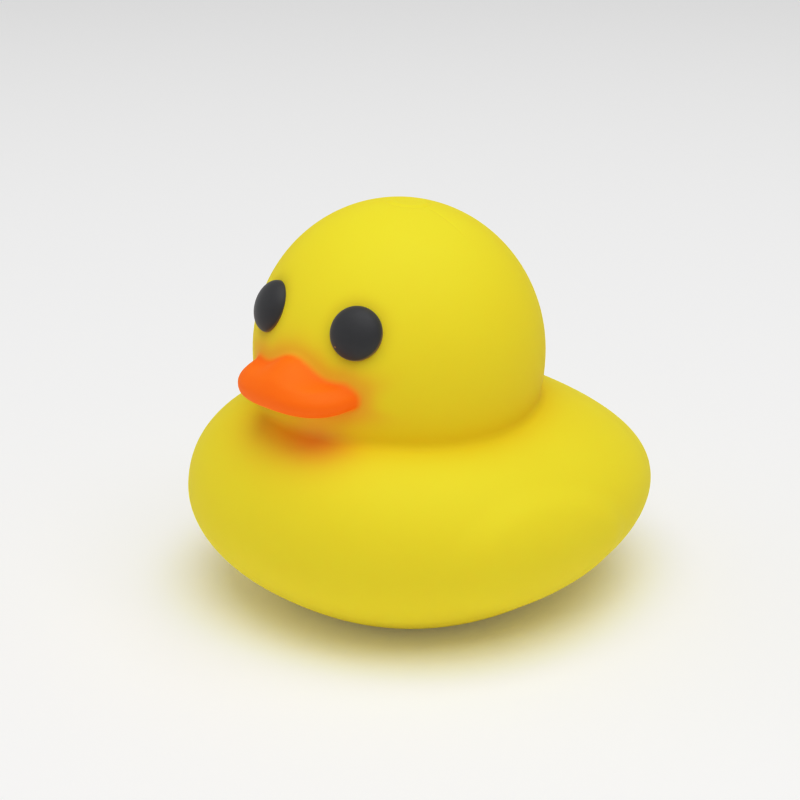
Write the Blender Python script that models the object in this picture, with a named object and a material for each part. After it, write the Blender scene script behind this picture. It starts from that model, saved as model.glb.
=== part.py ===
"""A bath duck, moulded hollow in one piece of soft plastic.

Metres, +Z up. The duck faces -Y and its left side is +X. The origin is on the floor,
at the middle of the body's length and width.
"""

import math

import bmesh
import bpy
from mathutils import Matrix, Vector

MM = 0.001

# Roundness says how square a curve is: 2 is a true circle or ellipse, and more is squarer
BALL_ROUNDNESS = 2.0

# Body, a rounded boat shape that is widest at its equator and is cut flat for the foot
BODY_LENGTH = 90.0 * MM
BODY_WIDTH = 84.8 * MM
EQUATOR_HEIGHT = 20.8 * MM
BACK_RISE = 23.3 * MM
KEEL_DROP = 25.4 * MM
CHEST_LIFT = 0.34
TAIL_FALL = 0.37
KEEL_LEAN = 0.035
BODY_PLAN_ROUNDNESS = 2.23
BACK_ROUNDNESS = 2.05
KEEL_ROUNDNESS = 1.83

# Head, nearly a ball, a little ahead of the body's middle
HEAD_WIDTH = 56.0 * MM
HEAD_DEPTH = 55.4 * MM
HEAD_HEIGHT = 57.8 * MM
HEAD_ABOVE_EQUATOR = 28.4 * MM
HEAD_AHEAD = 6.1 * MM
CHEEK_ROUNDNESS = 2.1

# Bill, a thick plate with a rounded lip and a hump where it meets the face
BILL_WIDTH = 26.7 * MM
BILL_REACH = 7.6 * MM
BILL_WIDEST_BEHIND_TIP = 11.0 * MM
BILL_ROOT_LENGTH = 14.0 * MM
BILL_ABOVE_HEAD_CENTRE = 0.4 * MM
BILL_UPPER_THICKNESS = 3.4 * MM
BILL_LOWER_THICKNESS = 3.0 * MM
BILL_PLAN_ROUNDNESS = 2.47
BILL_LIP_ROUNDNESS = 2.48
BILL_CORNER_DROOP = 0.8 * MM
BILL_NOD_DEG = 9.2
HUMP_HEIGHT = 2.8 * MM
HUMP_HALF_WIDTH = 5.0 * MM
HUMP_HALF_LENGTH = 5.0 * MM
HUMP_BEHIND_TIP = 6.0 * MM

# Eyes, low domes on the face
EYE_DIAMETER = 10.0 * MM
EYE_HEIGHT = 2.9 * MM
EYE_SPACING = 22.0 * MM
EYE_ABOVE_HEAD_CENTRE = 11.7 * MM
EYE_SINK = 0.4 * MM
EYE_TURN_DEG = 22.6
EYE_LIFT_DEG = 24.1

# Wings, raised ovals on the sides of the body, level in the middle with a soft shoulder
WING_RELIEF = 0.9 * MM
WING_SHOULDER = 0.5
WING_HALF_LENGTH = 22.0 * MM
WING_HALF_HEIGHT = 13.5 * MM
WING_AHEAD = 8.0 * MM
WING_BELOW_EQUATOR = 2.0 * MM
WING_DROOP_DEG = 9.0

# Mould mark, a flat disc on the midline, square to the head a little behind its top
CROWN_MARK_DIAMETER = 7.8 * MM
CROWN_MARK_RIM_HEIGHT = 0.17 * MM
CROWN_MARK_ROOT = 1.0 * MM
CROWN_MARK_BEHIND = 2.7 * MM

# Wall, and the vent hole that the hollow breathes through
WALL = 2.2 * MM
VENT_DIAMETER = 7.0 * MM
VENT_OVERSHOOT = 1.0 * MM

# Rings and columns of faces
BODY_COLUMNS, BODY_RINGS = 56, 28
HEAD_COLUMNS, HEAD_RINGS = 44, 22
BILL_COLUMNS, BILL_RINGS = 32, 16
EYE_COLUMNS, EYE_RINGS = 24, 12
CAVITY_COLUMNS, CAVITY_RINGS = 36, 18
SMALL_CIRCLE_SIDES = 24

VINYL_YELLOW = (0.80, 0.66, 0.05, 1.0)
VINYL_ROUGHNESS = 0.55
SHARP_ANGLE_DEG = 40.0

HEAD_CENTRE = Vector((0.0, -HEAD_AHEAD, EQUATOR_HEIGHT + HEAD_ABOVE_EQUATOR))
HEAD_HALF = Vector((HEAD_WIDTH / 2, HEAD_DEPTH / 2, HEAD_HEIGHT / 2))


def clear_scene():
    for old in list(bpy.data.objects):
        bpy.data.objects.remove(old, do_unlink=True)


def signed_power(value, exponent):
    return math.copysign(abs(value) ** exponent, value)


def rounded(direction, upper_roundness, lower_roundness, plan_roundness):
    """Moves a point of the unit ball onto a squarer or flatter ball of the same size."""
    latitude = math.asin(max(-1.0, min(1.0, direction.z)))
    longitude = math.atan2(direction.y, direction.x)
    side = upper_roundness if latitude > 0 else lower_roundness
    spread = abs(math.cos(latitude)) ** (2 / side)
    height = signed_power(math.sin(latitude), 2 / side)
    east, north = math.cos(longitude), math.sin(longitude)
    reach = (abs(east) ** plan_roundness + abs(north) ** plan_roundness) ** (-1 / plan_roundness)
    return Vector((spread * reach * east, spread * reach * north, height))


def wing_relief(y, above_equator):
    """How far the wing stands out at this place on the side of the body."""
    droop = math.radians(WING_DROOP_DEG)
    along = y + WING_AHEAD
    up = above_equator + WING_BELOW_EQUATOR
    length_share = (along * math.cos(droop) - up * math.sin(droop)) / WING_HALF_LENGTH
    height_share = (along * math.sin(droop) + up * math.cos(droop)) / WING_HALF_HEIGHT
    rise = (1 - length_share**2 - height_share**2) / WING_SHOULDER
    rise = max(0.0, min(1.0, rise))
    return WING_RELIEF * rise * rise * (3 - 2 * rise)


def body_point(direction, inset, winged):
    unit = rounded(direction, BACK_ROUNDNESS, KEEL_ROUNDNESS, BODY_PLAN_ROUNDNESS)
    point = Vector(
        (
            unit.x * (BODY_WIDTH / 2 - inset),
            unit.y * (BODY_LENGTH / 2 - inset),
            unit.z * ((BACK_RISE if unit.z > 0 else KEEL_DROP) - inset),
        )
    )
    if point.z > 0:
        point.z *= 1 + (CHEST_LIFT if unit.y < 0 else -TAIL_FALL) * unit.y**2
    else:
        point.z *= 1 - KEEL_LEAN * unit.y
    if winged:
        point.x += math.copysign(wing_relief(point.y, point.z), point.x) * abs(unit.x)
    return point + Vector((0, 0, EQUATOR_HEIGHT))


def head_point(direction, inset):
    unit = rounded(direction, BALL_ROUNDNESS, CHEEK_ROUNDNESS, BALL_ROUNDNESS)
    half = HEAD_HALF - Vector((inset, inset, inset))
    return HEAD_CENTRE + Vector((unit.x * half.x, unit.y * half.y, unit.z * half.z))


def bill_point(direction):
    unit = rounded(direction, BILL_LIP_ROUNDNESS, BILL_LIP_ROUNDNESS, BILL_PLAN_ROUNDNESS)
    length = BILL_WIDEST_BEHIND_TIP if unit.y < 0 else BILL_ROOT_LENGTH
    thickness = BILL_UPPER_THICKNESS if unit.z > 0 else BILL_LOWER_THICKNESS
    point = Vector((unit.x * BILL_WIDTH / 2, unit.y * length, unit.z * thickness))
    if unit.z > 0:
        across = point.x / HUMP_HALF_WIDTH
        along = (point.y + BILL_WIDEST_BEHIND_TIP - HUMP_BEHIND_TIP) / HUMP_HALF_LENGTH
        point.z += unit.z * HUMP_HEIGHT * math.exp(-(across**2) - along**2)
    point.z -= BILL_CORNER_DROOP * unit.x**2
    tip_y = HEAD_CENTRE.y - HEAD_HALF.y - BILL_REACH
    widest = Vector((0, tip_y + BILL_WIDEST_BEHIND_TIP, HEAD_CENTRE.z + BILL_ABOVE_HEAD_CENTRE))
    return widest + Matrix.Rotation(math.radians(BILL_NOD_DEG), 3, "X") @ point


def ball_form(name, columns, rings, place):
    """A ball of faces whose every point is put where place says."""
    mesh = bmesh.new()
    bmesh.ops.create_uvsphere(mesh, u_segments=columns, v_segments=rings, radius=1.0)
    for vertex in mesh.verts:
        vertex.co = place(vertex.co.normalized())
    return add_object(name, mesh)


def cut_flat(form, height):
    """Cuts a form level at this height, keeps what is above and closes it."""
    mesh = bmesh.new()
    mesh.from_mesh(form.data)
    everything = mesh.verts[:] + mesh.edges[:] + mesh.faces[:]
    cut = bmesh.ops.bisect_plane(
        mesh, geom=everything, plane_co=(0, 0, height), plane_no=(0, 0, 1), clear_inner=True
    )
    rim = [part for part in cut["geom_cut"] if isinstance(part, bmesh.types.BMEdge)]
    bmesh.ops.edgeloop_fill(mesh, edges=rim)
    finish_mesh(mesh, form.data)


def disc_form(name, diameter, bottom, top):
    mesh = bmesh.new()
    bmesh.ops.create_cone(
        mesh,
        cap_ends=True,
        segments=SMALL_CIRCLE_SIDES,
        radius1=diameter / 2,
        radius2=diameter / 2,
        depth=top - bottom,
        matrix=Matrix.Translation((0, 0, (top + bottom) / 2)),
    )
    return add_object(name, mesh)


def finish_mesh(mesh, data):
    bmesh.ops.recalc_face_normals(mesh, faces=mesh.faces)
    mesh.to_mesh(data)
    mesh.free()


def add_object(name, mesh):
    data = bpy.data.meshes.new(name)
    finish_mesh(mesh, data)
    made = bpy.data.objects.new(name, data)
    bpy.context.scene.collection.objects.link(made)
    return made


def hide_helper(helper):
    helper.hide_render = True
    helper.display_type = "WIRE"


def combine(target, helper, operation):
    boolean = target.modifiers.new(helper.name, "BOOLEAN")
    boolean.operation = operation
    boolean.solver = "EXACT"
    boolean.object = helper
    hide_helper(helper)


def make_shell_form():
    form = ball_form("duck_shell", BODY_COLUMNS, BODY_RINGS, lambda d: body_point(d, 0.0, True))
    cut_flat(form, 0.0)
    return form


def make_head():
    return ball_form("head_form", HEAD_COLUMNS, HEAD_RINGS, lambda d: head_point(d, 0.0))


def make_bill():
    return ball_form("bill_form", BILL_COLUMNS, BILL_RINGS, bill_point)


def make_eye(name, side):
    """One dome, seated on the head's surface and turned to face out and up."""
    x, z = side * EYE_SPACING / 2, EYE_ABOVE_HEAD_CENTRE
    depth = math.sqrt(1 - (x / HEAD_HALF.x) ** 2 - (z / HEAD_HALF.z) ** 2)
    turn, lift = math.radians(EYE_TURN_DEG), math.radians(EYE_LIFT_DEG)
    outward = Vector(
        (side * math.sin(turn) * math.cos(lift), -math.cos(turn) * math.cos(lift), math.sin(lift))
    )
    seat = HEAD_CENTRE + Vector((x, -HEAD_HALF.y * depth, z)) - outward * EYE_SINK
    facing = outward.to_track_quat("Z", "Y").to_matrix()
    size = Vector((EYE_DIAMETER / 2, EYE_DIAMETER / 2, EYE_HEIGHT))
    return ball_form(
        name,
        EYE_COLUMNS,
        EYE_RINGS,
        lambda d: seat + facing @ Vector((d.x * size.x, d.y * size.y, d.z * size.z)),
    )


def crown_mark_place():
    """Puts the floor plane where the mark's face lies, with only its rim clear of the head."""
    above = HEAD_HALF.z * math.sqrt(1 - (CROWN_MARK_BEHIND / HEAD_HALF.y) ** 2)
    outward = Vector((0, CROWN_MARK_BEHIND / HEAD_HALF.y**2, above / HEAD_HALF.z**2)).normalized()
    head_bulge = (CROWN_MARK_DIAMETER / 2) ** 2 / HEAD_DEPTH
    centre = HEAD_CENTRE + Vector((0, CROWN_MARK_BEHIND, above))
    face = centre + outward * (CROWN_MARK_RIM_HEIGHT - head_bulge)
    return Matrix.Translation(face) @ outward.to_track_quat("Z", "Y").to_matrix().to_4x4()


def make_crown_mark():
    mark = disc_form("crown_mark_form", CROWN_MARK_DIAMETER, -CROWN_MARK_ROOT, CROWN_MARK_ROOT)
    mark.data.transform(crown_mark_place())
    return mark


def make_crown_trim():
    """Takes off what stands above the mark's flat face."""
    width = CROWN_MARK_DIAMETER + 2 * CROWN_MARK_ROOT
    trim = disc_form("crown_trim", width, 0.0, 2 * CROWN_MARK_ROOT)
    trim.data.transform(crown_mark_place())
    return trim


def make_body_hollow():
    hollow = ball_form(
        "body_hollow", CAVITY_COLUMNS, CAVITY_RINGS, lambda d: body_point(d, WALL, False)
    )
    cut_flat(hollow, WALL)
    return hollow


def make_head_hollow():
    return ball_form("head_hollow", CAVITY_COLUMNS, CAVITY_RINGS, lambda d: head_point(d, WALL))


def make_vent():
    return disc_form("vent_hole", VENT_DIAMETER, -VENT_OVERSHOOT, WALL + VENT_OVERSHOOT)


def yellow_vinyl():
    material = bpy.data.materials.new("yellow_vinyl")
    material.use_nodes = True
    shader = material.node_tree.nodes["Principled BSDF"]
    shader.inputs["Base Color"].default_value = VINYL_YELLOW
    shader.inputs["Roughness"].default_value = VINYL_ROUGHNESS
    shader.inputs["Metallic"].default_value = 0.0
    return material


def main():
    clear_scene()
    shell = make_shell_form()
    shell.data.materials.append(yellow_vinyl())
    raised = [make_head(), make_bill(), make_eye("left_eye_form", 1), make_eye("right_eye_form", -1)]
    for form in raised + [make_crown_mark()]:
        combine(shell, form, "UNION")
    for cutter in (make_crown_trim(), make_body_hollow(), make_head_hollow(), make_vent()):
        combine(shell, cutter, "DIFFERENCE")
    shell.data.shade_smooth()
    shell.data.set_sharp_from_angle(angle=math.radians(SHARP_ANGLE_DEG))


main()
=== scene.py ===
# %% [markdown]
# A bath duck is one hollow skin of soft plastic, moulded in one go and then sprayed.
# This script gives the plain moulded solid its finished looks. It loads the solid as a fixed
# frame, grows a smooth skin in the same place, seats the eyes, and paints the bill and eyes.

# %% Load the frame
import math

import bmesh
import bpy
import numpy as np
from mathutils import Matrix, Vector


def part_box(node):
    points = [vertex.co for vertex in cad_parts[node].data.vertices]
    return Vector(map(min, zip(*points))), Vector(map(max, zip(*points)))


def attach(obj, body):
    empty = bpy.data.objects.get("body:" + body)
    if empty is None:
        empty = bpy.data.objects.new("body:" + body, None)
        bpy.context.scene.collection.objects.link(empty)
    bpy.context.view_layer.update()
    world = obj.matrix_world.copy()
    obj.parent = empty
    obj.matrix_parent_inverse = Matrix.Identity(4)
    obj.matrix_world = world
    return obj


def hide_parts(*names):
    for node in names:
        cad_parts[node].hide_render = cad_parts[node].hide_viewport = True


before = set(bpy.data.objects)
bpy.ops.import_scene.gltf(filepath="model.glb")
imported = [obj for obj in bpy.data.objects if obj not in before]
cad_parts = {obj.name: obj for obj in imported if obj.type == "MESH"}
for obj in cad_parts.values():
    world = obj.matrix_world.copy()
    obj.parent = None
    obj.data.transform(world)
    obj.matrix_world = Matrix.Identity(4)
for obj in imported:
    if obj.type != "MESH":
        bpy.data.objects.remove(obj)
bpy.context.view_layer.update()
shell_low, shell_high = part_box("duck_shell")
MM = 0.001
print("shell, mm:", [round(side / MM, 1) for side in shell_high - shell_low])

# %% [markdown]
# The duck's few driving sizes are in millimetres. The length comes from the frame, and the rest
# are the sizes of the moulding. The body and the head are squashed balls, so each needs only a
# centre, three half sizes and a few numbers for how square its curves are.

# %% Sizes of the body and the head
BODY_HALF = np.array([42.4, (shell_high.y - shell_low.y) / 2 / MM, 23.3])
EQUATOR = 20.8
KEEL_DROP = 25.4
CHEST_LIFT, TAIL_FALL, KEEL_LEAN = 0.34, 0.37, 0.035
THINNEST_BACK = 0.3
PLAN_ROUNDNESS, BACK_ROUNDNESS, KEEL_ROUNDNESS = 2.23, 2.05, 1.83
HEAD_CENTRE = np.array([0.0, -6.1, EQUATOR + 28.4])
HEAD_HALF = np.array([28.0, 27.7, 28.9])
BALL_ROUNDNESS, CHEEK_ROUNDNESS = 2.0, 2.1
print("head centre, mm:", HEAD_CENTRE)

# %% [markdown]
# Each form is written as a field: a number that is below zero inside the form, zero on its skin
# and above zero outside. Fields blend into each other easily, which is how the soft fillet at a
# moulded neck is made. A Boolean would leave a knife-sharp crease there.
#
# A wing is a low plateau on the side of the body. Its soft shoulder leans toward the light, and
# that is what makes so low a shape show up.

# %% The wings
WING_RELIEF, WING_SHOULDER = 0.9, 0.5
WING_HALF_LENGTH, WING_HALF_HEIGHT = 22.0, 13.5
WING_AHEAD, WING_LOW = 8.0, 2.0
WING_DROOP = math.radians(9.0)


def smooth_step(values):
    share = np.clip(values, 0, 1)
    return share**2 * (3 - 2 * share)


def wing_relief(y, up):
    """How far the wing stands out on the side of the body, in millimetres."""
    along, above = y + WING_AHEAD, up + WING_LOW
    length_share = (along * math.cos(WING_DROOP) - above * math.sin(WING_DROOP)) / WING_HALF_LENGTH
    height_share = (along * math.sin(WING_DROOP) + above * math.cos(WING_DROOP)) / WING_HALF_HEIGHT
    return WING_RELIEF * smooth_step((1 - length_share**2 - height_share**2) / WING_SHOULDER)


# %% Fields of the body and the head
def superellipse(across, along, roundness):
    return (np.abs(across) ** roundness + np.abs(along) ** roundness) ** (1 / roundness)


def body_field(points):
    x, y, up = points[:, 0], points[:, 1], points[:, 2] - EQUATOR
    wide = BODY_HALF[0] + wing_relief(y, up)
    share = y / BODY_HALF[1]
    bulge = np.where(share < 0, CHEST_LIFT, -TAIL_FALL) * share**2
    over = BODY_HALF[2] * np.clip(1 + bulge, THINNEST_BACK, None)
    under = KEEL_DROP * (1 - KEEL_LEAN * share)
    plan = superellipse(x / wide, share, PLAN_ROUNDNESS)
    above = superellipse(plan, up / over, BACK_ROUNDNESS)
    below = superellipse(plan, up / under, KEEL_ROUNDNESS)
    return np.where(up > 0, above, below) - 1


def head_field(points):
    place = (points - HEAD_CENTRE) / HEAD_HALF
    plan = superellipse(place[:, 0], place[:, 1], BALL_ROUNDNESS)
    brow = superellipse(plan, place[:, 2], BALL_ROUNDNESS)
    cheek = superellipse(plan, place[:, 2], CHEEK_ROUNDNESS)
    return np.where(place[:, 2] > 0, brow, cheek) - 1


print("wing, mm:", 2 * WING_HALF_LENGTH, "by", 2 * WING_HALF_HEIGHT)

# %% [markdown]
# The bill is a thick plate with a rounded lip. It nods forward a little, and its corners droop.
# A hump on its top runs back into the face. Round the hump the top is slightly dished, and in
# front of the dish a soft ridge follows the lip and catches the light.

# %% The bill
BILL_HALF_WIDTH, BILL_FRONT, BILL_ROOT = 13.35, 11.0, 14.0
BILL_REACH, BILL_LIFT = 7.6, 0.4
BILL_UPPER, BILL_LOWER = 3.4, 3.0
BILL_PLAN, BILL_SHOULDER, BILL_LIP = 2.47, 2.9, 2.48
CORNER_DROOP = 0.8
BILL_NOD = math.radians(9.2)
HUMP_HEIGHT, HUMP_WIDTH, HUMP_LENGTH, HUMP_BEHIND_TIP = 2.8, 5.0, 5.0, 6.0
DISH_DEPTH, DISH_PLACE, DISH_WIDTH = 0.5, 0.55, 0.2
RIDGE_HEIGHT, RIDGE_PLACE, RIDGE_WIDTH = 0.3, 0.84, 0.09
BILL_TIP_Y = HEAD_CENTRE[1] - HEAD_HALF[1] - BILL_REACH
BILL_CENTRE = np.array([0.0, BILL_TIP_Y + BILL_FRONT, HEAD_CENTRE[2] + BILL_LIFT])


def bill_field(points):
    place = points - BILL_CENTRE
    x = place[:, 0]
    y = place[:, 1] * math.cos(BILL_NOD) + place[:, 2] * math.sin(BILL_NOD)
    z = place[:, 2] * math.cos(BILL_NOD) - place[:, 1] * math.sin(BILL_NOD)
    z = z + CORNER_DROOP * (x / BILL_HALF_WIDTH) ** 2
    plan = superellipse(
        x / BILL_HALF_WIDTH, y / np.where(y < 0, BILL_FRONT, BILL_ROOT), BILL_PLAN
    )
    behind_hump = y + BILL_FRONT - HUMP_BEHIND_TIP
    hump = HUMP_HEIGHT * np.exp(-((x / HUMP_WIDTH) ** 2) - (behind_hump / HUMP_LENGTH) ** 2)
    dish = DISH_DEPTH * np.exp(-(((plan - DISH_PLACE) / DISH_WIDTH) ** 2))
    ridge = RIDGE_HEIGHT * np.exp(-(((plan - RIDGE_PLACE) / RIDGE_WIDTH) ** 2))
    top = superellipse(plan, z / (BILL_UPPER + hump + ridge - dish), BILL_SHOULDER)
    underside = superellipse(plan, z / BILL_LOWER, BILL_LIP)
    return np.where(z > 0, top, underside) - 1


print("bill tip, mm:", round(BILL_TIP_Y, 1))

# %% [markdown]
# A field's own value isn't a distance. Divided by its slope it is one, near the skin, and then
# two fields can be blended over a width in millimetres. The neck has a tight fillet. The bill's
# upper edge runs softly into the face and its lower edge is crisp, as on the moulding.

# %% Blend the fields
SLOPE_STEP = 0.02
FLATTEST_SLOPE = 1e-6
NECK_FILLET, BILL_TOP_FILLET, BILL_UNDER_FILLET = 1.5, 1.8, 0.8
FILLET_RISE = 3.0
FOOT_EDGE = 0.5


def slope_of(field, points):
    sides = []
    for axis in range(3):
        step = np.zeros(3)
        step[axis] = SLOPE_STEP
        sides.append((field(points + step) - field(points - step)) / (2 * SLOPE_STEP))
    return np.stack(sides, axis=1)


def distance(field, points):
    steepness = np.linalg.norm(slope_of(field, points), axis=1)
    return field(points) / np.maximum(steepness, FLATTEST_SLOPE)


def blend(first, second, width):
    """The nearer of two distances, with a fillet of this width where they meet."""
    overlap = np.clip(width - np.abs(first - second), 0, None) / width
    return np.minimum(first, second) - overlap**2 * width / 4


def trunk_field(points):
    return blend(distance(body_field, points), distance(head_field, points), NECK_FILLET)


def duck_field(points):
    rise = np.clip((points[:, 2] - BILL_CENTRE[2]) / FILLET_RISE, 0, 1)
    fillet = BILL_UNDER_FILLET + (BILL_TOP_FILLET - BILL_UNDER_FILLET) * rise
    whole = blend(trunk_field(points), distance(bill_field, points), fillet)
    return -blend(-whole, points[:, 2], FOOT_EDGE)


# %% [markdown]
# The skin starts as three overlapping balls. A voxel remesh makes them one even net of faces,
# and then every point is moved along the field's slope until it lies on the duck. Smoothing
# between the moves keeps the net even. It is done twice, so that the second net starts from
# nearly the right shape.

# %% Grow the skin
VOXEL = 0.6
LONGEST_STEP = 1.0
ROUNDS = 2
RELAX_SHARE, ROUND_RELAXES, LAST_RELAXES = 0.5, 2, 1
ROUND_SETTLES, LAST_SETTLES = 4, 3


def add_ball(mesh, centre, half, columns=64, rings=32):
    size = Matrix.Diagonal((*(float(side) * MM for side in half), 1.0))
    place = Matrix.Translation(Vector(float(side) * MM for side in centre)) @ size
    bmesh.ops.create_uvsphere(mesh, u_segments=columns, v_segments=rings, radius=1.0, matrix=place)


def points_of(data):
    flat = np.empty(len(data.vertices) * 3)
    data.vertices.foreach_get("co", flat)
    return flat.reshape(-1, 3) / MM


def move_points(data, points):
    data.vertices.foreach_set("co", (points * MM).ravel())
    data.update()


def settle(data, field, passes):
    """Moves each point along the slope until it lies on the field's skin."""
    points = points_of(data)
    for _ in range(passes):
        slope = slope_of(field, points)
        size = np.maximum(np.linalg.norm(slope, axis=1), FLATTEST_SLOPE)
        step = np.clip(field(points) / size, -LONGEST_STEP, LONGEST_STEP)
        points = points - slope * (step / size)[:, None]
    move_points(data, points)


def relax(data, times):
    mesh = bmesh.new()
    mesh.from_mesh(data)
    for _ in range(times):
        bmesh.ops.smooth_vert(
            mesh,
            verts=mesh.verts,
            factor=RELAX_SHARE,
            use_axis_x=True,
            use_axis_y=True,
            use_axis_z=True,
        )
    mesh.to_mesh(data)
    mesh.free()


def apply_modifiers(piece):
    graph = bpy.context.evaluated_depsgraph_get()
    fresh = bpy.data.meshes.new_from_object(piece.evaluated_get(graph))
    piece.modifiers.clear()
    piece.data = fresh


def remesh(piece, voxel):
    modifier = piece.modifiers.new("even net", "REMESH")
    modifier.mode = "VOXEL"
    modifier.voxel_size = voxel * MM
    apply_modifiers(piece)


def new_piece(name, mesh):
    data = bpy.data.meshes.new(name)
    mesh.to_mesh(data)
    mesh.free()
    piece = bpy.data.objects.new(name, data)
    bpy.context.scene.collection.objects.link(piece)
    return piece


def grow(name, balls, field, voxel):
    start = bmesh.new()
    for centre, half in balls:
        add_ball(start, centre, half)
    piece = new_piece(name, start)
    for _ in range(ROUNDS):
        remesh(piece, voxel)
        relax(piece.data, ROUND_RELAXES)
        settle(piece.data, field, ROUND_SETTLES)
    relax(piece.data, LAST_RELAXES)
    settle(piece.data, field, LAST_SETTLES)
    return piece


trunk_balls = [((0, 0, EQUATOR), BODY_HALF), (HEAD_CENTRE, HEAD_HALF)]
bill_ball = (BILL_CENTRE, (BILL_HALF_WIDTH, BILL_FRONT, BILL_UPPER))
skin = grow("duck_skin", [*trunk_balls, bill_ball], duck_field, VOXEL)
print("skin:", len(skin.data.vertices), "points,", len(skin.data.polygons), "faces")

# %% [markdown]
# The mould leaves two marks on the head: a flat round pad behind the crown, and a faint groove
# where its halves met, which runs from the pad toward each ear and fades. They are finer than the
# net of faces, so the net is first divided there, and its points then settle on the marked skin.

# %% Mould marks on the crown
PARTING_Y = -3.4
PAD_RADIUS, PAD_RIM_HEIGHT, PAD_EDGE = 3.9, 0.17, 0.5
PAD_GROOVE, PAD_GROOVE_OUT, PAD_GROOVE_WIDTH = 0.1, 0.45, 0.28
HEAD_BULGE = PAD_RADIUS**2 / (2 * HEAD_HALF[1])
LINE_DEPTH, LINE_HALF_WIDTH = 0.09, 0.22
LINE_START, LINE_FADES, LINE_ENDS = 4.1, 8.0, 16.0
CROWN_RISE = 18.0
MARKS_ABOVE = HEAD_CENTRE[2] + CROWN_RISE
NET_CUTS, MARK_SETTLES = 3, 3
NET_MARGIN = 1.3


def mark_relief(points):
    x, y, z = points.T
    out = np.hypot(x, y - PARTING_Y)
    flat = PAD_RIM_HEIGHT - HEAD_BULGE * (1 - (out / PAD_RADIUS) ** 2)
    pad = flat * smooth_step((PAD_RADIUS - out) / PAD_EDGE)
    groove = PAD_GROOVE * np.exp(-(((out - PAD_RADIUS - PAD_GROOVE_OUT) / PAD_GROOVE_WIDTH) ** 2))
    strength = smooth_step((LINE_ENDS - np.abs(x)) / LINE_FADES) * (out > LINE_START)
    line = LINE_DEPTH * strength * np.exp(-(((y - PARTING_Y) / LINE_HALF_WIDTH) ** 2))
    return np.where(z > MARKS_ABOVE, pad - groove - line, 0)


def marked_field(points):
    return duck_field(points) - mark_relief(points)


def divide(data, chosen, cuts):
    """Divides the faces whose points are all chosen into a finer net."""
    mesh = bmesh.new()
    mesh.from_mesh(data)
    edges = [edge for edge in mesh.edges if all(chosen[end.index] for end in edge.verts)]
    bmesh.ops.subdivide_edges(mesh, edges=edges, cuts=cuts, use_grid_fill=True)
    mesh.to_mesh(data)
    mesh.free()
    return len(edges)


net = points_of(skin.data)
near_pad = np.hypot(net[:, 0], net[:, 1] - PARTING_Y) < PAD_RADIUS + PAD_GROOVE_OUT + NET_MARGIN
near_line = (np.abs(net[:, 1] - PARTING_Y) < NET_MARGIN) & (np.abs(net[:, 0]) < LINE_ENDS)
divided = divide(skin.data, (near_pad | near_line) & (net[:, 2] > MARKS_ABOVE), NET_CUTS)
settle(skin.data, marked_field, MARK_SETTLES)
print("divided edges:", divided)

# %% [markdown]
# A bath duck of this kind is usually hollow, with a hole in its foot for the air. The photograph
# shows neither, so the wall and the plain round hole are guesses. The hollow is grown from the
# same fields, one wall thickness in, and then cut out of the skin with a Boolean, together with
# a short cylinder for the hole.

# %% Hollow and vent hole
WALL, VENT_RADIUS = 2.2, 3.5
HOLLOW_VOXEL = 1.6
VENT_SIDES, VENT_OVERSHOOT = 64, 1.0


def hollow_field(points):
    return -blend(-(trunk_field(points) + WALL), points[:, 2] - WALL, FOOT_EDGE)


def cut_out(piece, helper):
    cut = piece.modifiers.new(helper.name, "BOOLEAN")
    cut.operation = "DIFFERENCE"
    cut.solver = "EXACT"
    cut.object = helper
    apply_modifiers(piece)
    bpy.data.objects.remove(helper, do_unlink=True)


def vent_cutter():
    mesh = bmesh.new()
    depth = WALL + 2 * VENT_OVERSHOOT
    bmesh.ops.create_cone(
        mesh,
        cap_ends=True,
        segments=VENT_SIDES,
        radius1=VENT_RADIUS * MM,
        radius2=VENT_RADIUS * MM,
        depth=depth * MM,
        matrix=Matrix.Translation((0, 0, WALL / 2 * MM)),
    )
    return new_piece("vent_cutter", mesh)


cut_out(skin, grow("hollow", trunk_balls, hollow_field, HOLLOW_VOXEL))
cut_out(skin, vent_cutter())
print("hollow skin:", len(skin.data.polygons), "faces")

# %% [markdown]
# The eyes are low domes on the skin, turned outward and up. Each is its own flattened ball, so
# that its edge against the face stays crisp.

# %% Eye domes
EYE_RADIUS, EYE_RISE, EYE_SINK = 5.0, 2.9, 0.4
EYE_OUT, EYE_UP = 11.0, 11.7
EYE_TURN, EYE_LIFT = math.radians(22.6), math.radians(24.1)
EYE_COLUMNS, EYE_RINGS = 96, 48
LEFT, RIGHT = 1, -1
SIDE_NAMES = {LEFT: "left", RIGHT: "right"}


def eye_seat(side):
    depth = math.sqrt(1 - (EYE_OUT / HEAD_HALF[0]) ** 2 - (EYE_UP / HEAD_HALF[2]) ** 2)
    outward = Vector(
        (
            side * math.sin(EYE_TURN) * math.cos(EYE_LIFT),
            -math.cos(EYE_TURN) * math.cos(EYE_LIFT),
            math.sin(EYE_LIFT),
        )
    )
    seat = Vector(HEAD_CENTRE) + Vector((side * EYE_OUT, -HEAD_HALF[1] * depth, EYE_UP))
    return seat - outward * EYE_SINK, outward


def make_eye(name, side):
    seat, outward = eye_seat(side)
    facing = outward.to_track_quat("Z", "Y").to_matrix().to_4x4()
    size = Matrix.Diagonal((EYE_RADIUS * MM, EYE_RADIUS * MM, EYE_RISE * MM, 1.0))
    dome = bmesh.new()
    place = Matrix.Translation(seat * MM) @ facing @ size
    bmesh.ops.create_uvsphere(
        dome, u_segments=EYE_COLUMNS, v_segments=EYE_RINGS, radius=1.0, matrix=place
    )
    return new_piece(name, dome)


eyes = {side: make_eye(f"{word}_eye", side) for side, word in SIDE_NAMES.items()}
print("eyes:", [eye.name for eye in eyes.values()])

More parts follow.
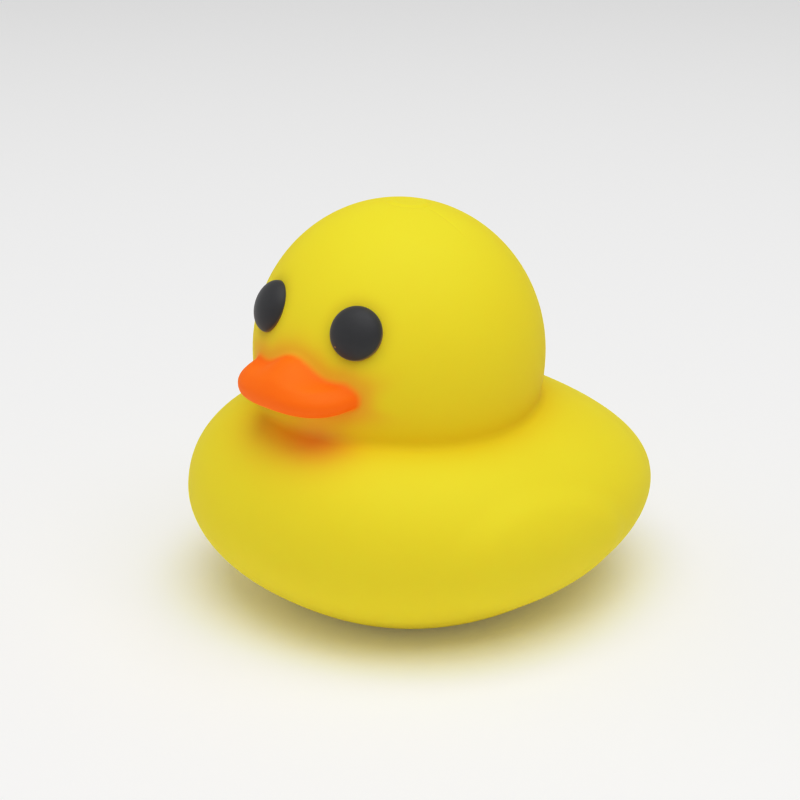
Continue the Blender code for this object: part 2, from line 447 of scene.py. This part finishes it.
# %% [markdown]
# Spray paint has no edge of its own on the bill's upper side: it fades out over the yellow. The
# strength of the paint at each point is stored on the skin as a layer, worked out from how much
# further the point is from the head's ball than from the bill. Other layers hold the haze that
# drifts past the bill; a patch on the throat below it, partly overspray and partly painted orange
# bounce light from the bill; a ring round the eyes, partly eye-paint overspray and partly painted
# shade; and painted shade in the neck crease, which deepens the yellow there.

# %% Spray masks
PAINT_STARTS, PAINT_FULL = -0.75, 0.95
BILL_NEAR, BILL_FAR = 0.9, 2.0
HAZE_REACH = 2.4
THROAT = np.array([5.0, -33.3, 40.0])
THROAT_SPREAD = np.array([6.5, 4.8, 4.2])
EYE_SPRAY_AND_SHADE_REACH = 1.7
CREASE_SHADE_REACH_UP, CREASE_SHADE_REACH_DOWN = 9.0, 3.5
HALF_PAINTED = 0.5


def store_layer(data, name, values):
    layer = data.attributes.new(name, "FLOAT", "POINT")
    layer.data.foreach_set("value", values.astype(np.float32))


def from_eye(points, side):
    """How far each point lies from the eye's round edge, in millimetres."""
    seat, outward = eye_seat(side)
    across = points - np.array(seat)
    height = across @ np.array(outward)
    out = np.linalg.norm(across - height[:, None] * np.array(outward), axis=1)
    return np.hypot(out - EYE_RADIUS, height)


skin_points = points_of(skin.data)
outside = trunk_field(skin_points) > -WALL / 2
from_bill = distance(bill_field, skin_points)
above_body = np.clip(distance(body_field, skin_points), 0, None)
outside_head = np.clip(distance(head_field, skin_points), 0, None)
near_bill = 1 - smooth_step((from_bill - BILL_NEAR) / (BILL_FAR - BILL_NEAR))
lead = outside_head - np.clip(from_bill, 0, None)
paint = near_bill * smooth_step((lead - PAINT_STARTS) / (PAINT_FULL - PAINT_STARTS))
haze = np.exp(-((np.clip(from_bill, 0, None) / HAZE_REACH) ** 2))
# The throat patch is partly overspray and partly painted orange bounce light from the bill.
throat_spray_and_bounce = np.exp(-((((skin_points - THROAT) / THROAT_SPREAD) ** 2).sum(axis=1)))
# The ring round the eyes is partly eye-paint overspray and partly painted shade.
eye_spray_and_shade = sum(np.exp(-((from_eye(skin_points, side) / EYE_SPRAY_AND_SHADE_REACH) ** 2)) for side in (LEFT, RIGHT))
# The crease layer is painted shade: the yellow is made deeper and more orange in the neck crease.
crease_shade = np.exp(-above_body / CREASE_SHADE_REACH_UP - outside_head / CREASE_SHADE_REACH_DOWN)
layers = {"crease_shade": crease_shade, "bill_paint": paint, "haze": haze, "throat_spray_and_bounce": throat_spray_and_bounce, "eye_rim_spray_and_shade": eye_spray_and_shade}
for name, values in layers.items():
    store_layer(skin.data, name, values * outside)
print("painted points:", int((paint * outside > HALF_PAINTED).sum()))

# %% [markdown]
# Matte soft plastic lets a little light in below its surface, which warms the shaded side. A
# fine grain breaks up the sheen. The orange is mixed in by the skin's own layers, and is a little
# glossier than the yellow. It also has a small red glow, which is painted light, added because
# the photograph's red is at its limit there. The shader takes its depths in metres.

# %% Yellow vinyl and sprayed bill
def new_material(name):
    material = bpy.data.materials.new(name)
    material.use_nodes = True
    nodes, links = material.node_tree.nodes, material.node_tree.links
    return material, nodes, links, nodes["Principled BSDF"]


def layer_node(nodes, name):
    node = nodes.new("ShaderNodeAttribute")
    node.attribute_name = name
    return node.outputs["Fac"]


def mix_node(nodes, links, factor, first, second):
    node = nodes.new("ShaderNodeMix")
    node.data_type = "RGBA"
    links.new(factor, node.inputs["Factor"])
    for socket, colour in ((node.inputs["A"], first), (node.inputs["B"], second)):
        if isinstance(colour, tuple):
            socket.default_value = colour
        else:
            links.new(colour, socket)
    return node.outputs["Result"]


def scaled(nodes, links, value, factor, base=0.0):
    """The value times the factor, plus the base."""
    node = nodes.new("ShaderNodeMath")
    node.operation = "MULTIPLY_ADD"
    links.new(value, node.inputs[0])
    node.inputs[1].default_value = factor
    node.inputs[2].default_value = base
    return node.outputs[0]


def noise_node(nodes, links, scale, detail):
    place = nodes.new("ShaderNodeTexCoord")
    node = nodes.new("ShaderNodeTexNoise")
    node.inputs["Scale"].default_value = scale
    node.inputs["Detail"].default_value = detail
    links.new(place.outputs["Object"], node.inputs["Vector"])
    return node.outputs["Fac"]


GRAIN_DEPTH, GRAIN_DETAIL = 0.00005, 3.0


def add_grain(nodes, links, shader, scale, strength):
    bump = nodes.new("ShaderNodeBump")
    bump.inputs["Strength"].default_value = strength
    bump.inputs["Distance"].default_value = GRAIN_DEPTH
    links.new(noise_node(nodes, links, scale, GRAIN_DETAIL), bump.inputs["Height"])
    links.new(bump.outputs["Normal"], shader.inputs["Normal"])


YELLOW, YELLOW_DEEP = (0.9, 0.765, 0.045, 1.0), (0.88, 0.735, 0.04, 1.0)
# The crease yellow is painted shade.
PAINTED_CREASE_SHADE = (0.9, 0.65, 0.012, 1.0)
# The throat tint is partly overspray and partly painted orange bounce light from the bill.
ORANGE, THROAT_SPRAY_AND_BOUNCE_TINT = (1.0, 0.205, 0.002, 1.0), (0.98, 0.46, 0.09, 1.0)
# The bill's red glow is painted light.
NO_GLOW, PAINTED_RED_GLOW = (0.0, 0.0, 0.0, 1.0), (0.13, 0.018, 0.0, 1.0)
VINYL_SHEEN, PAINT_SHEEN = 0.15, 0.27
# The eye-ring tint is partly overspray and partly painted shade.
HAZE_TINT, EYE_SPRAY_AND_SHADE_TINT = (0.9, 0.38, 0.04, 1.0), (0.66, 0.53, 0.03, 1.0)
HAZE_SHARE, THROAT_SHARE, EYE_SPRAY_AND_SHADE_SHARE = 0.7, 0.55, 0.4
MOTTLE_SCALE, MOTTLE_DETAIL = 60.0, 2.0
VINYL_ROUGHNESS = 0.6
SOFT_SHARE, SOFT_SPREAD, SOFT_DEPTH = 0.15, (1.0, 0.55, 0.1), 0.002
VINYL_GRAIN_SCALE, VINYL_GRAIN = 2600.0, 0.12


def vinyl_material():
    material, nodes, links, shader = new_material("yellow_vinyl")
    mottle = noise_node(nodes, links, MOTTLE_SCALE, MOTTLE_DETAIL)
    colour = mix_node(nodes, links, mottle, YELLOW, YELLOW_DEEP)
    # The crease layer is painted shade, the throat patch partly painted bounce light, the eye ring
    # partly painted shade.
    sprays = (
        ("crease_shade", 1.0, PAINTED_CREASE_SHADE),
        ("haze", HAZE_SHARE, HAZE_TINT),
        ("throat_spray_and_bounce", THROAT_SHARE, THROAT_SPRAY_AND_BOUNCE_TINT),
        ("eye_rim_spray_and_shade", EYE_SPRAY_AND_SHADE_SHARE, EYE_SPRAY_AND_SHADE_TINT),
        ("bill_paint", 1.0, ORANGE),
    )
    for layer, share, tint in sprays:
        strength = scaled(nodes, links, layer_node(nodes, layer), share)
        colour = mix_node(nodes, links, strength, colour, tint)
    links.new(colour, shader.inputs["Base Color"])
    bill_paint = layer_node(nodes, "bill_paint")
    sheen = scaled(nodes, links, bill_paint, PAINT_SHEEN - VINYL_SHEEN, VINYL_SHEEN)
    links.new(sheen, shader.inputs["Specular IOR Level"])
    # The red glow on the bill is painted light.
    painted_glow = mix_node(nodes, links, bill_paint, NO_GLOW, PAINTED_RED_GLOW)
    links.new(painted_glow, shader.inputs["Emission Color"])
    shader.inputs["Emission Strength"].default_value = 1.0
    shader.inputs["Roughness"].default_value = VINYL_ROUGHNESS
    shader.inputs["Subsurface Weight"].default_value = SOFT_SHARE
    shader.inputs["Subsurface Radius"].default_value = SOFT_SPREAD
    shader.inputs["Subsurface Scale"].default_value = SOFT_DEPTH
    add_grain(nodes, links, shader, VINYL_GRAIN_SCALE, VINYL_GRAIN)
    return material


skin.data.materials.clear()
skin.data.materials.append(vinyl_material())
SHARP_ANGLE = math.radians(40.0)
skin.data.shade_smooth()
skin.data.set_sharp_from_angle(angle=SHARP_ANGLE)
print("skin material:", skin.data.materials[0].name)

# %% [markdown]
# The eye paint is a matte, powdery charcoal laid on through a mask. The mask sits a touch high
# and to one side, so at most a sliver of each dome's wall stays bare, low on the duck's left.
# That bare wall is yellow darkened with painted shade, for the shadow where the dome meets the
# face. The duck's left eye has a speck where the paint is missing.

# %% Charcoal eye paint
CHARCOAL, CHARCOAL_LIGHT = (0.034, 0.0345, 0.039, 1.0), (0.042, 0.0425, 0.047, 1.0)
# The bare wall colour is yellow darkened with painted shade.
BARE_WALL_PAINTED_SHADE, BARE_SPECK = (0.34, 0.19, 0.02, 1.0), (0.6, 0.3, 0.02, 1.0)
MASK_SHIFT = Vector((-0.05, 0.0, 0.08))
MASK_RADIUS, SPECK_RADIUS = 5.05, 0.16
SPECK_DOWN, SPECK_ACROSS = 3.0, -3.1
EDGE_BLUR = 0.06
POWDER_SCALE, POWDER_DETAIL = 900.0, 4.0
EYE_ROUGHNESS, EYE_SPECULAR = 0.6, 0.6
POWDER_SHEEN, POWDER_SHEEN_ROUGHNESS = 0.3, 0.4
EYE_GRAIN_SCALE, EYE_GRAIN = 3000.0, 0.15


def beyond(nodes, links, centre, radius, blur):
    """One where the surface lies further than this from the centre, zero where it is nearer."""
    place = nodes.new("ShaderNodeTexCoord")
    reach = nodes.new("ShaderNodeVectorMath")
    reach.operation = "DISTANCE"
    reach.inputs[1].default_value = centre * MM
    edge = nodes.new("ShaderNodeMapRange")
    edge.inputs["From Min"].default_value = (radius - blur) * MM
    edge.inputs["From Max"].default_value = (radius + blur) * MM
    links.new(place.outputs["Object"], reach.inputs[0])
    links.new(reach.outputs["Value"], edge.inputs["Value"])
    return edge.outputs["Result"]


def eye_material(side):
    material, nodes, links, shader = new_material(f"eye_paint_{SIDE_NAMES[side]}")
    seat, outward = eye_seat(side)
    powder = noise_node(nodes, links, POWDER_SCALE, POWDER_DETAIL)
    colour = mix_node(nodes, links, powder, CHARCOAL, CHARCOAL_LIGHT)
    # The bare wall is given yellow darkened with painted shade.
    shaded_bare_wall = beyond(nodes, links, seat + MASK_SHIFT, MASK_RADIUS, EDGE_BLUR)
    colour = mix_node(nodes, links, shaded_bare_wall, colour, BARE_WALL_PAINTED_SHADE)
    if side == LEFT:
        level = Vector((0, 0, 1)).cross(outward).normalized()
        rising = outward.cross(level)
        flat = level * SPECK_ACROSS - rising * SPECK_DOWN
        height = EYE_RISE * math.sqrt(1 - (flat.length / EYE_RADIUS) ** 2)
        painted = beyond(nodes, links, seat + flat + outward * height, SPECK_RADIUS, EDGE_BLUR)
        colour = mix_node(nodes, links, painted, BARE_SPECK, colour)
    links.new(colour, shader.inputs["Base Color"])
    shader.inputs["Roughness"].default_value = EYE_ROUGHNESS
    shader.inputs["Specular IOR Level"].default_value = EYE_SPECULAR
    shader.inputs["Sheen Weight"].default_value = POWDER_SHEEN
    shader.inputs["Sheen Roughness"].default_value = POWDER_SHEEN_ROUGHNESS
    add_grain(nodes, links, shader, EYE_GRAIN_SCALE, EYE_GRAIN)
    return material


for side, eye in eyes.items():
    eye.data.materials.append(eye_material(side))
    eye.data.shade_smooth()
    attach(eye, "root")
    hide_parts("duck_shell")
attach(skin, "root")
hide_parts("duck_shell")
print("pieces:", skin.name, *[eye.name for eye in eyes.values()])

# %% [markdown]
# The photograph looks lit by a white tent: a big soft light overhead, a weaker one on the left,
# and white on all sides, the floor too. A pale world stands for the walls. The floor glows a
# little, as a lit sheet does, which keeps it white and softens the shadow.

# %% Floor and light
FLOOR_SIZE = 6.0
FLOOR_PALE, FLOOR_GLOW, FLOOR_ROUGHNESS = (0.92, 0.92, 0.92, 1.0), 0.07, 0.9
WORLD_STRENGTH = 0.29
LIGHT_TARGET = (0, 0, 0.04)
SOFTBOX_PLACE, SOFTBOX_SIZE, SOFTBOX_POWER = (0.19, -0.09, 0.89), 1.0, 5.7
FILL_PLACE, FILL_SIZE, FILL_POWER = (-0.6, -0.5, 0.5), 0.9, 0.75
WHITE = (1.0, 1.0, 1.0, 1.0)


def add_floor():
    mesh = bmesh.new()
    bmesh.ops.create_grid(mesh, x_segments=1, y_segments=1, size=FLOOR_SIZE / 2)
    floor = new_piece("floor", mesh)
    material, _, _, shader = new_material("floor_pale")
    shader.inputs["Base Color"].default_value = FLOOR_PALE
    shader.inputs["Roughness"].default_value = FLOOR_ROUGHNESS
    shader.inputs["Emission Color"].default_value = WHITE
    shader.inputs["Emission Strength"].default_value = FLOOR_GLOW
    floor.data.materials.append(material)


def add_area(name, place, size, power):
    data = bpy.data.lights.new(name, "AREA")
    data.shape = "SQUARE"
    data.size = size
    data.energy = power
    lamp = bpy.data.objects.new(name, data)
    lamp.location = place
    aim = Vector(LIGHT_TARGET) - Vector(place)
    lamp.rotation_euler = aim.to_track_quat("-Z", "Y").to_euler()
    bpy.context.scene.collection.objects.link(lamp)


def light_tent():
    world = bpy.data.worlds.new("light_tent")
    bpy.context.scene.world = world
    world.use_nodes = True
    sky = world.node_tree.nodes["Background"]
    sky.inputs["Color"].default_value = WHITE
    sky.inputs["Strength"].default_value = WORLD_STRENGTH


add_floor()
add_area("top_softbox", SOFTBOX_PLACE, SOFTBOX_SIZE, SOFTBOX_POWER)
add_area("left_fill", FILL_PLACE, FILL_SIZE, FILL_POWER)
light_tent()
print("lights:", [lamp.name for lamp in bpy.data.lights])

# %% [markdown]
# A camera doesn't record light evenly. It darkens the deep tones a little and flattens the bright
# ones, which turns shaded yellow golden and sunny yellow pale. A gentle curve in the colour
# settings does the same. It is inferred from how the photograph's yellows fall, not measured.
# Each pair below is a strength of light and the tone it is shown as.

# %% Camera tone curve
COMBINED_CURVE = 3
TONE_POINTS = (
    (0.13, 0.10),
    (0.305, 0.30),
    (0.525, 0.60),
    (0.685, 0.80),
    (0.785, 0.882),
    (0.93, 0.985),
)


def use_tone_curve():
    settings = bpy.context.scene.view_settings
    settings.view_transform = "Standard"
    settings.use_curve_mapping = True
    curve = settings.curve_mapping.curves[COMBINED_CURVE]
    for light, tone in TONE_POINTS:
        curve.points.new(light, tone)
    settings.curve_mapping.update()
    return curve


print("tone curve points:", len(use_tone_curve().points))

# %% [markdown]
# The camera stands to the duck's left front, a little above it, with a long lens, as in the
# photograph. It is aimed so that its picture needs no shift.

# %% Camera
CAMERA_TURN, CAMERA_RISE = math.radians(43.1), math.radians(23.03)
CAMERA_DISTANCE = 488.7 * MM
AIM_POINT = Vector((0.0, 0.0, EQUATOR * MM))
FOCAL_PIXELS, PICTURE_SIDE = 2490.0, 800
AIM_PIXEL = (420.8, 476.5)
SENSOR_WIDTH = 36.0
NEAREST_SEEN = 0.01


def add_camera():
    right = Vector((math.cos(CAMERA_TURN), math.sin(CAMERA_TURN), 0))
    back = Vector(
        (
            math.sin(CAMERA_TURN) * math.cos(CAMERA_RISE),
            -math.cos(CAMERA_TURN) * math.cos(CAMERA_RISE),
            math.sin(CAMERA_RISE),
        )
    )
    up = back.cross(right)
    centre = PICTURE_SIDE / 2
    look = (
        right * (centre - AIM_PIXEL[0]) / FOCAL_PIXELS
        - up * (centre - AIM_PIXEL[1]) / FOCAL_PIXELS
        - back
    )
    data = bpy.data.cameras.new("camera")
    data.sensor_width = SENSOR_WIDTH
    data.lens = SENSOR_WIDTH * FOCAL_PIXELS / PICTURE_SIDE
    data.clip_start = NEAREST_SEEN
    camera = bpy.data.objects.new("camera", data)
    camera.location = AIM_POINT + back * CAMERA_DISTANCE
    camera.rotation_euler = look.to_track_quat("-Z", "Y").to_euler()
    bpy.context.scene.collection.objects.link(camera)
    bpy.context.scene.camera = camera
    return camera


camera = add_camera()
print("lens, mm:", round(camera.data.lens, 1))
